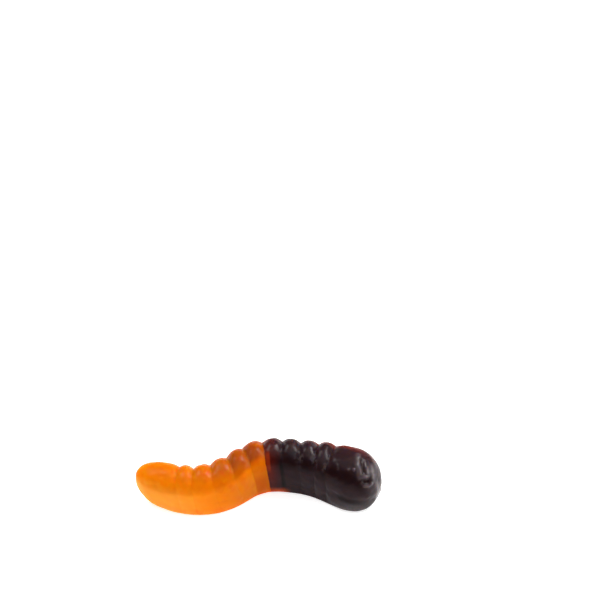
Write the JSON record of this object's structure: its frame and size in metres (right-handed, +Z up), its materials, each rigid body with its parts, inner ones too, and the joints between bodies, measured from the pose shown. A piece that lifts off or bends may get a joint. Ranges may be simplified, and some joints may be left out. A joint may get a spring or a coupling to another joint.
{
  "type": "gummy worm",
  "caption": "Soft gummy worm lying in an S on its flat back, half orange and half dark gel, ribbed over the ridge, with a small face on its thicker end.",
  "frame": {"origin": "middle of the worm's box in plan, on the flat back that it lies on", "axes": "+X from the thin tail to the face's end, +Y away from the viewer of the picture, +Z up from the flat back to the ribbed ridge"},
  "size_m": [0.0612, 0.0178, 0.0132],
  "materials": {
    "worm": "smooth, slightly shiny, translucent gel: orange over the tail half and dark plum over the head half"
  },
  "bodies": {
    "root": {"worm": "worm"}
  },
  "joints": []
}
